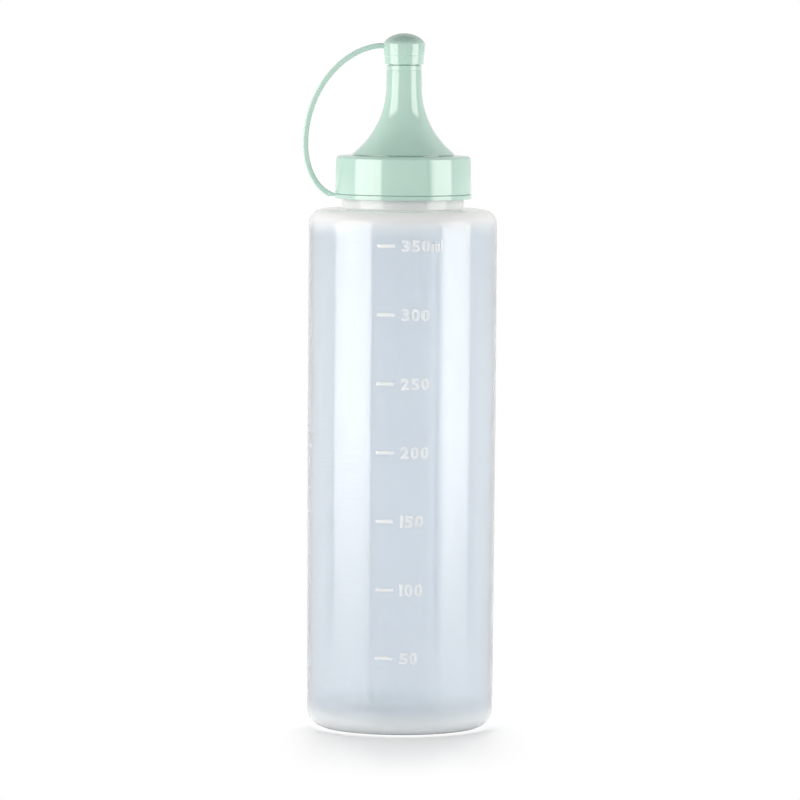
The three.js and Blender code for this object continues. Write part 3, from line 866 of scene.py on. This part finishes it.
def soften(piece, width):
    """Rounds a piece's edges."""
    bevel = piece.modifiers.new("Soft edges", "BEVEL")
    bevel.width = width
    bevel.segments = EDGE_STEPS
    bevel.limit_method = "ANGLE"


def dress(piece, body, node_name):
    """Puts a finished piece in place of its CAD node, on its body."""
    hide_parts(node_name)
    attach(piece, body)


def new_material(name):
    """An empty material, its tree and its Object coordinates."""
    material = bpy.data.materials.new(name)
    material.use_nodes = True
    tree = material.node_tree
    tree.nodes.clear()
    return material, tree, node(tree, "ShaderNodeTexCoord").outputs["Object"]


def blend(tree, factor, first, last):
    """A number between two others."""
    return node(tree, "ShaderNodeMix", {"Factor": factor, "A": first, "B": last}).outputs["Result"]


def noise(tree, place, scale, detail=2.0):
    """A noise over a place. The scale is one number, or one for each axis."""
    if isinstance(scale, tuple):
        place = result(tree, "ShaderNodeMapping", {"Vector": place, "Scale": scale})
        scale = 1.0
    return result(tree, "ShaderNodeTexNoise", {"Vector": place, "Scale": scale, "Detail": detail})


def bump(tree, height, relief, **more):
    """A relief on a surface, given as its strength and depth."""
    inputs = {"Strength": relief[0], "Distance": relief[1], "Height": height, **more}
    return result(tree, "ShaderNodeBump", inputs)


def spread(tree, value, ends):
    """A noise, spread between two values."""
    return ranged(tree, value, *NOISE_RANGE, *ends)


def tint(tree, factor, first, second):
    """A colour between two others, each given as a colour or as a socket."""
    ends = [end if isinstance(end, bpy.types.NodeSocket) else (*end, 1.0) for end in (first, second)]
    inputs = {"Factor": factor, "A": ends[0], "B": ends[1]}
    return node(tree, "ShaderNodeMix", inputs, data_type="RGBA").outputs["Result"]


def shade(base, level):
    """A colour made lighter or darker."""
    return tuple(min(1.0, part * level) for part in base)


def mottled(tree, pattern, base, levels):
    """A colour that a pattern shades from one level to another."""
    return tint(tree, pattern, shade(base, levels[0]), shade(base, levels[1]))


def finish_material(material, tree, kind, inputs):
    """Ends a material in a shader of this kind."""
    shader = result(tree, kind, inputs)
    node(tree, "ShaderNodeOutputMaterial", {"Surface": shader})
    return material


def cloudy_plastic():
    """Blow-moulded polyethylene with the fine ridges of its mould, milkier where it is thicker."""
    material, tree, place = new_material("cloudy_plastic")
    finishes, wall = settings().finishes, settings().bottle
    across = split(tree, place)
    mark_edge = [wall.body_radius + rise for rise in MARK_EDGE]
    marks = eased(tree, distance(tree, place, LEVEL), *mark_edge, 0.0, MARK_MILK)
    foot = eased(tree, across["Z"], *FOOT_EDGE, 0.0, FOOT_MILK)
    ends = maths(tree, "MAXIMUM", foot, eased(tree, across["Z"], *SHOULDER_EDGE))
    thick = maths(tree, "MAXIMUM", marks, ends)
    clouds = noise(tree, place, CLOUD_SCALE, detail=3.0)
    thin_colour = mottled(tree, clouds, finishes.translucent, CLOUD_SHADES)
    strokes = noise(tree, place, RIDGE_SCALE)
    ridges = product(tree, strokes, eased(tree, across["X"], *RIDGE_SIDE, RIDGE_REST, 1.0))
    ripple = noise(tree, place, RIPPLE_SCALE, detail=1.0)
    waved = bump(tree, ripple, RIPPLE_RELIEF, Normal=bump(tree, ridges, RIDGE_RELIEF))
    inputs = {
        "Base Color": tint(tree, thick, thin_colour, finishes.milky),
        "Roughness": spread(tree, clouds, CLOUD_ROUGHNESS),
        "IOR": WALL_IOR,
        "Transmission Weight": blend(tree, thick, *WALL_CLEAR),
        "Subsurface Weight": 1.0,
        "Subsurface Radius": (1.0, 1.0, 1.0),
        "Subsurface Scale": WALL_SCATTER,
        "Coat Weight": 1.0,
        "Coat Roughness": GLOSS_ROUGHNESS,
        "Coat IOR": GLOSS_IOR,
        "Normal": waved,
        "Coat Normal": waved,
    }
    return finish_material(material, tree, "ShaderNodeBsdfPrincipled", inputs)


def mint_plastic():
    """Satin moulded polyethylene, with painted shade that darkens the top of the tip cap's dome."""
    material, tree, place = new_material("mint_plastic")
    base, dome_height = settings().finishes.mint, settings().tip_cap.dome_height
    height = split(tree, place)["Z"]
    # Painted shade: a mask that rises up the tip cap's dome; its colour is darkened towards the top
    painted_dome_top = eased(tree, height, TIP_HIGH.z - dome_height, TIP_HIGH.z - dome_height / 2)
    flow = noise(tree, place, FLOW_SCALE, detail=3.0)
    inputs = {
        "Base Color": tint(tree, painted_dome_top, mottled(tree, flow, base, FLOW_SHADES), shade(base, DOME_PAINTED_SHADE)),
        "Roughness": spread(tree, flow, FLOW_ROUGHNESS),
        "IOR": MINT_IOR,
        "Specular IOR Level": 1.0,
        "Normal": bump(tree, noise(tree, place, GRAIN_SCALE), GRAIN_RELIEF),
    }
    return finish_material(material, tree, "ShaderNodeBsdfPrincipled", inputs)


def matt_silicone():
    """Matte silicone rubber."""
    material, tree, place = new_material("matt_silicone")
    flecks = noise(tree, place, FLECK_SCALE, detail=3.0)
    inputs = {
        "Base Color": mottled(tree, flecks, settings().finishes.seal, FLECK_SHADES),
        "Roughness": spread(tree, flecks, FLECK_ROUGHNESS),
        "Normal": bump(tree, flecks, FLECK_RELIEF),
    }
    return finish_material(material, tree, "ShaderNodeBsdfPrincipled", inputs)


def material_of(make):
    """A finish, made once and shared by its pieces."""
    return bpy.data.materials.get(make.__name__) or make()


class SAUCE_BOTTLE_OT_bottle(bpy.types.Operator):
    """Makes the blow-moulded bottle with its thread and its volume scale"""

    bl_idname = "sauce_bottle.bottle"
    bl_label = "Bottle"

    def execute(self, context):
        sizes, thread = settings().bottle, settings().thread
        plastic = material_of(cloudy_plastic)
        outer, inner = sizes.body_radius, sizes.body_radius - sizes.wall
        foot_wall = outer - sizes.wall_taper
        foot_inner = foot_wall - sizes.base_corner - sizes.foot_ring
        hollow_edge = foot_inner - sizes.push_up_run
        floor_top = sizes.push_up + sizes.base_wall
        collar_top = sizes.shoulder_height + sizes.collar_height
        step = sizes.collar_radius - sizes.neck_radius
        ceiling = sizes.shoulder_height - sizes.wall
        profile = rounded(
            [
                (0.0, sizes.push_up),
                (hollow_edge, sizes.push_up, sizes.push_up_round),
                (foot_inner, 0.0, sizes.foot_round),
                (foot_wall, 0.0, sizes.base_corner),
                *wall_rows(),
                (outer, sizes.shoulder_height, sizes.shoulder_corner),
                (sizes.collar_radius, sizes.shoulder_height, sizes.neck_fillet),
                (sizes.collar_radius, collar_top, sizes.rim_round),
                (sizes.neck_radius, collar_top + step),
                (sizes.neck_radius, sizes.rim_height, sizes.rim_round),
                (sizes.neck_bore, sizes.rim_height, sizes.rim_round),
                (sizes.neck_bore, ceiling, sizes.neck_fillet),
                (inner, ceiling, sizes.shoulder_corner - sizes.wall),
                (inner, sizes.taper_top),
                (foot_wall - sizes.wall, sizes.wall, sizes.base_corner - sizes.wall),
                (foot_inner, sizes.base_wall, sizes.foot_round),
                (hollow_edge, floor_top, sizes.push_up_round),
                (0.0, floor_top),
            ]
        )
        bottle = turn_profile("bottle_moulding", profile, plastic)
        start = thread.start_height
        ridge = thread_ridge("neck_thread", sizes.neck_radius, thread.depth, start, 0.0, plastic)
        unite(bottle, ridge, volume_bars(plastic), volume_numbers(plastic))
        dress(bottle, "bottle", "bottle")
        return {"FINISHED"}


class SAUCE_BOTTLE_OT_seal_washer(bpy.types.Operator):
    """Makes the washer between the bottle's rim and the cap"""

    bl_idname = "sauce_bottle.seal_washer"
    bl_label = "Seal washer"

    def execute(self, context):
        sizes = settings().washer
        middle = (sizes.bore + WASHER_HIGH.x) / 2
        profile = rounded(
            [
                (middle, WASHER_LOW.z),
                (WASHER_HIGH.x, WASHER_LOW.z, sizes.edge_round),
                (WASHER_HIGH.x, WASHER_HIGH.z, sizes.edge_round),
                (sizes.bore, WASHER_HIGH.z, sizes.edge_round),
                (sizes.bore, WASHER_LOW.z, sizes.edge_round),
                (middle, WASHER_LOW.z),
            ]
        )
        washer = turn_profile("seal_washer_ring", profile, material_of(matt_silicone))
        dress(washer, "seal_washer", "seal_washer")
        return {"FINISHED"}


class SAUCE_BOTTLE_OT_screw_cap(bpy.types.Operator):
    """Makes the screw cap with its nozzle and its thread"""

    bl_idname = "sauce_bottle.screw_cap"
    bl_label = "Screw cap"

    def execute(self, context):
        sizes, thread, neck = settings().cap, settings().thread, settings().bottle
        plastic = material_of(mint_plastic)
        skirt_bottom = ring_top() + sizes.skirt_gap
        deck_edge = sizes.foot_radius - sizes.skirt_taper
        ceiling = sizes.deck_top - sizes.deck_thickness
        lip_top = sizes.skirt_end + sizes.lip_height
        nozzle_step = CAP_HIGH.z - sizes.spigot_length
        tube_bottom = nozzle_step - sizes.tube_length
        tube_end = sizes.tube_radius - sizes.tube_taper
        bore = sizes.tube_radius - sizes.nozzle_wall
        witness = nozzle_step - sizes.witness_drop
        groove_top = sizes.deck_top + sizes.groove_height
        groove_end = sizes.nozzle_foot - sizes.groove_depth
        outside = flare((sizes.nozzle_foot, groove_top), (sizes.tube_radius, tube_bottom), sizes.flare_drop)
        bore_bottom = nozzle_step - sizes.bore_length
        inside = flare((sizes.mouth_radius, ceiling), (bore, bore_bottom), sizes.mouth_drop)
        orifice_bottom = CAP_HIGH.z - sizes.orifice_length
        profile = [
            *rounded(
                [
                    (sizes.skirt_inner, sizes.skirt_end),
                    (sizes.sleeve_radius, sizes.skirt_end),
                    (sizes.lip_radius, sizes.skirt_end + sizes.lip_height / 2),
                    (sizes.lip_radius, lip_top),
                    (sizes.sleeve_radius, lip_top),
                    (sizes.sleeve_radius, skirt_bottom),
                    (sizes.foot_radius, skirt_bottom, sizes.foot_round),
                    (deck_edge, sizes.deck_top - sizes.deck_fall, sizes.edge_round),
                    (groove_end, sizes.deck_top),
                    (groove_end, groove_top),
                ]
            ),
            *outside,
            *rounded(
                [
                    (tube_end, witness - sizes.witness_width),
                    (tube_end - sizes.witness_depth, witness),
                    (tube_end, witness + sizes.witness_width),
                    (tube_end, nozzle_step, sizes.foot_round),
                    (sizes.spigot_radius, nozzle_step),
                    (sizes.spigot_radius, CAP_HIGH.z, sizes.spigot_round),
                    (sizes.orifice_radius, CAP_HIGH.z, sizes.foot_round),
                    (sizes.orifice_radius, orifice_bottom),
                ]
            ),
            *reversed(inside),
            (sizes.skirt_inner, ceiling),
            (sizes.skirt_inner, sizes.skirt_end),
        ]
        cap = turn_profile("screw_cap_moulding", profile, plastic)
        reach = sizes.skirt_inner - neck.neck_radius - FIT_GAP
        start = thread.start_height - thread.pitch / 2
        unite(cap, thread_ridge("cap_thread", sizes.skirt_inner, -reach, start, thread.cap_start, plastic))
        dress(cap, "screw_cap", "screw_cap")
        return {"FINISHED"}


class SAUCE_BOTTLE_OT_tether_ring(bpy.types.Operator):
    """Makes the ring round the cap's sleeve, with its tab"""

    bl_idname = "sauce_bottle.tether_ring"
    bl_label = "Tether ring"

    def execute(self, context):
        sizes = settings().tether
        plastic = material_of(mint_plastic)
        hem = RING_LOW.z - sizes.hem_drop
        top = ring_top()
        profile = rounded(
            [
                (sizes.hem_inner, RING_LOW.z),
                (sizes.hem_inner, hem),
                (sizes.ring_outer, hem, sizes.ring_round),
                (sizes.ring_outer, top, sizes.ring_round),
                (sizes.ring_inner, top, sizes.ring_round / 2),
                (sizes.ring_inner, RING_LOW.z, sizes.ring_round / 2),
                (sizes.hem_inner, RING_LOW.z),
            ]
        )
        ring = turn_profile("tether_band", profile, plastic)
        unite(ring, strap_tab(plastic))
        dress(ring, "tether", "tether_ring")
        return {"FINISHED"}


class SAUCE_BOTTLE_OT_tether_strap(bpy.types.Operator):
    """Makes the strap, which bends between the ring and the tip cap"""

    bl_idname = "sauce_bottle.tether_strap"
    bl_label = "Tether strap"

    def execute(self, context):
        sizes = settings().tether
        line = strap_line()
        strap = line_object("tether_strip", line)
        inputs = {
            "Width": sizes.strap_width,
            "Thickness": sizes.strap_thickness,
            "Round": sizes.strap_round,
        }
        tidy_faces(grow(strap, strip_tree(), material_of(mint_plastic), inputs))
        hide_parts("tether_strap")
        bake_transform(strap)
        return {"FINISHED"}


class SAUCE_BOTTLE_OT_tip_cap(bpy.types.Operator):
    """Makes the domed tip cap with the pin that closes the nozzle"""

    bl_idname = "sauce_bottle.tip_cap"
    bl_label = "Tip cap"

    def execute(self, context):
        sizes = settings().tip_cap
        skirt_top = TIP_HIGH.z - sizes.dome_height
        step = TIP_LOW.z + sizes.band_height
        band_top = sizes.rim_radius + sizes.band_flare
        low_sine = math.sin(sizes.dome_start)
        dome = []
        for i in range(DOME_STEPS + 1):
            turn = sizes.dome_start + (QUARTER_TURN - sizes.dome_start) * i / DOME_STEPS
            radius = sizes.top_radius * math.cos(turn) / math.cos(sizes.dome_start)
            rise = (math.sin(turn) - low_sine) / (1 - low_sine)
            dome.append((radius if i < DOME_STEPS else 0.0, skirt_top + sizes.dome_height * rise))
        profile = [
            *rounded(
                [
                    (0.0, skirt_top - sizes.plug_length),
                    (sizes.plug_radius, skirt_top - sizes.plug_length, sizes.plug_round),
                    (sizes.plug_radius, skirt_top - sizes.roof),
                    (sizes.socket_radius, skirt_top - sizes.roof),
                    (sizes.socket_radius, TIP_LOW.z, sizes.rim_round),
                    (sizes.rim_radius, TIP_LOW.z, sizes.rim_round),
                    (band_top, step),
                    (band_top + sizes.step, step + sizes.step),
                ]
            ),
            *dome,
        ]
        tip_cap = turn_profile("tip_cap_moulding", profile, material_of(mint_plastic), TIP_SEGMENTS)
        dress(tip_cap, "tip_cap", "tip_cap")
        return {"FINISHED"}


def seen_rays(tree, behind):
    """Rays that show the background: straight, through translucent walls, and in gloss behind the bottle."""
    path = node(tree, "ShaderNodeLightPath").outputs
    return path["Is Camera Ray"], path["Is Transmission Ray"], product(tree, path["Is Glossy Ray"], behind)


def stage_sheet(name, corners, material, face=(0, 1, 2, 3), hidden_from=()):
    """A four-cornered sheet of the stage with a UV map, hidden from these kinds of ray."""
    mesh = bpy.data.meshes.new(name)
    mesh.from_pydata(corners, [], [face])
    sheet = mesh.uv_layers.new(name=SHEET_UV)
    for loop in mesh.loops:
        sheet.data[loop.index].uv = SHEET_CORNERS[loop.vertex_index]
    mesh.materials.append(material)
    made = link_object(name, mesh)
    for ray in hidden_from:
        setattr(made, "visible_" + ray, False)


def make_camera(stage):
    """The camera at the photograph's angle."""
    lens = bpy.data.cameras.new("camera")
    lens.lens = stage.lens
    lens.sensor_width = SENSOR_WIDTH
    lens.clip_end = CAMERA_REACH
    camera = link_object("camera", lens)
    place = Vector((stage.aim_side, -stage.distance, stage.height))
    aim = Vector((stage.aim_side, 0.0, stage.aim_height))
    facing = (aim - place).to_track_quat("-Z", "Y").to_matrix() @ Matrix.Rotation(stage.roll, 3, "Z")
    camera.matrix_world = Matrix.Translation(place) @ facing.to_4x4()
    bpy.context.scene.camera = camera


def make_floor(stage):
    """A satin floor that keeps the bottle's shadow, with a painted light ring just round the bottle's foot,
    and turns plain white away from it.
    """
    material, tree, place = new_material("floor_white")
    finish = {"Base Color": (*stage.floor_colour, 1.0), "Roughness": stage.floor_roughness}
    satin = result(tree, "ShaderNodeBsdfPrincipled", finish)
    away, reach = distance(tree, place), distance(tree, place, GLOW_STRETCH)
    # Painted light: a white ring on the floor right round the foot, laid over the shade under the foot's
    # rounded corner
    edge = eased(tree, away, stage.rim_end, stage.rim_start, 0.0, stage.rim_glow)
    level = maths(tree, "MAXIMUM", edge, eased(tree, reach, stage.glow_start, stage.glow_end))
    under = eased(tree, away, stage.glow_start, stage.glow_end, stage.under_glow, 1.0)
    behind = eased(tree, split(tree, place)["Y"], 0.0, stage.glow_end)
    straight, through, gloss = seen_rays(tree, behind)
    outside = product(tree, maths(tree, "MAXIMUM", straight, gloss), level)
    share_white = maths(tree, "MAXIMUM", outside, product(tree, through, under))
    white = result(tree, "ShaderNodeEmission")
    finish_material(material, tree, "ShaderNodeMixShader", {0: share_white, 1: satin, 2: white})
    half = stage.floor_size / 2
    corners = [(-half, -half, 0), (half, -half, 0), (half, half, 0), (-half, half, 0)]
    stage_sheet("floor", corners, material)


def make_softbox(name, side, near, far, fade, glow, stage):
    """An upright softbox beside the bottle, whose light fades towards its edges."""
    material, tree, _ = new_material(name + "_light")
    across = split(tree, result(tree, "ShaderNodeUVMap", uv_map=SHEET_UV))
    sideways = product(tree, eased(tree, across["X"], 0.0, fade), eased(tree, across["X"], *FAR_FADE))
    low = eased(tree, across["Y"], 0.0, stage.low_fade, stage.low_level, 1.0)
    upwards = product(tree, low, eased(tree, across["Y"], *TOP_FADE))
    front = maths(tree, "SUBTRACT", 1.0, node(tree, "ShaderNodeNewGeometry").outputs["Backfacing"])
    strength = product(tree, product(tree, sideways, upwards), front, glow)
    light = {"Color": (*stage.box_colour, 1.0), "Strength": strength}
    finish_material(material, tree, "ShaderNodeEmission", light)
    bottom, top, reach = stage.box_bottom, stage.box_top, stage.box_distance
    edges = ((near, bottom), (far, bottom), (far, top), (near, top))
    corners = [(side * reach * math.sin(turn), -reach * math.cos(turn), height) for turn, height in edges]
    face = (0, 1, 2, 3) if side < 0 else (3, 2, 1, 0)
    stage_sheet(name, corners, material, face, hidden_from=("camera", "shadow"))


def make_panel(stage):
    """A soft panel behind the bottle, which sets the bottle's shadow on the floor in front."""
    material, tree, _ = new_material("back_panel_light")
    finish_material(material, tree, "ShaderNodeEmission", {"Strength": stage.panel_glow})
    side, place = stage.panel_width / 2, stage.panel_distance
    low, high = stage.panel_bottom, stage.panel_top
    corners = [(-side, place, low), (side, place, low), (side, place, high), (-side, place, high)]
    stage_sheet("back_panel", corners, material, hidden_from=("camera", "glossy", "transmission", "shadow"))


def make_world(stage):
    """White for the camera, the back's light through walls and in gloss, and a fill, darkest overhead."""
    world = bpy.data.worlds.new("studio")
    world.use_nodes = True
    tree = world.node_tree
    tree.nodes.clear()
    ways = split(tree, node(tree, "ShaderNodeTexCoord").outputs["Generated"])
    level = eased(tree, ways["Y"], *FRONT_TO_BACK, stage.fill, stage.back)
    lit = blend(tree, eased(tree, ways["Z"], *OVERHEAD_LIGHT), level, stage.overhead)
    shown = eased(tree, ways["Z"], *OVERHEAD_GLOSS, 1.0, stage.overhead)
    straight, through, gloss = seen_rays(tree, eased(tree, ways["Y"], *GLOSS_BACK))
    room = blend(tree, product(tree, gloss, shown), lit, stage.back)
    strength = blend(tree, straight, blend(tree, through, room, stage.back), 1.0)
    backdrop = result(tree, "ShaderNodeBackground", {"Color": (1, 1, 1, 1), "Strength": strength})
    node(tree, "ShaderNodeOutputWorld", {"Surface": backdrop})
    bpy.context.scene.world = world


class SAUCE_BOTTLE_OT_stage(bpy.types.Operator):
    """Makes the floor, the two softboxes, the panel behind the bottle, the background and the camera"""

    bl_idname = "sauce_bottle.stage"
    bl_label = "Stage"

    def execute(self, context):
        stage = settings().stage
        make_camera(stage)
        make_floor(stage)
        make_softbox(
            "left_softbox", -1, stage.left_near, stage.left_far, stage.left_fade, stage.left_glow, stage
        )
        make_softbox(
            "right_softbox", 1, stage.right_near, stage.right_far, stage.right_fade, stage.right_glow, stage
        )
        make_panel(stage)
        make_world(stage)
        context.scene.view_settings.view_transform = "Standard"
        return {"FINISHED"}


OPERATORS = (
    SAUCE_BOTTLE_OT_bottle,
    SAUCE_BOTTLE_OT_seal_washer,
    SAUCE_BOTTLE_OT_screw_cap,
    SAUCE_BOTTLE_OT_tether_ring,
    SAUCE_BOTTLE_OT_tether_strap,
    SAUCE_BOTTLE_OT_tip_cap,
    SAUCE_BOTTLE_OT_stage,
)


class SAUCE_BOTTLE_PT_steps(bpy.types.Panel):
    """Lists the steps that make the bottle, in order"""

    bl_label = "Squeeze Sauce Bottle"
    bl_space_type = "VIEW_3D"
    bl_region_type = "UI"
    bl_category = PANEL_TAB

    def draw(self, context):
        for step in OPERATORS:
            self.layout.operator(step.bl_idname)


CLASSES = (
    BottleSizes,
    ThreadSizes,
    MarkSizes,
    WasherSizes,
    CapSizes,
    TetherSizes,
    TipCapSizes,
    Finishes,
    StageSettings,
    SauceBottleSettings,
    *OPERATORS,
    SAUCE_BOTTLE_PT_steps,
)


def register():
    for entry in CLASSES:
        bpy.utils.register_class(entry)
    bpy.types.Scene.sauce_bottle = PointerProperty(type=SauceBottleSettings)


def unregister():
    del bpy.types.Scene.sauce_bottle
    for entry in reversed(CLASSES):
        bpy.utils.unregister_class(entry)


def main():
    register()
    bpy.ops.sauce_bottle.bottle()
    bpy.ops.sauce_bottle.seal_washer()
    bpy.ops.sauce_bottle.screw_cap()
    bpy.ops.sauce_bottle.tether_ring()
    bpy.ops.sauce_bottle.tether_strap()
    bpy.ops.sauce_bottle.tip_cap()
    bpy.ops.sauce_bottle.stage()


if __name__ == "__main__":
    main()
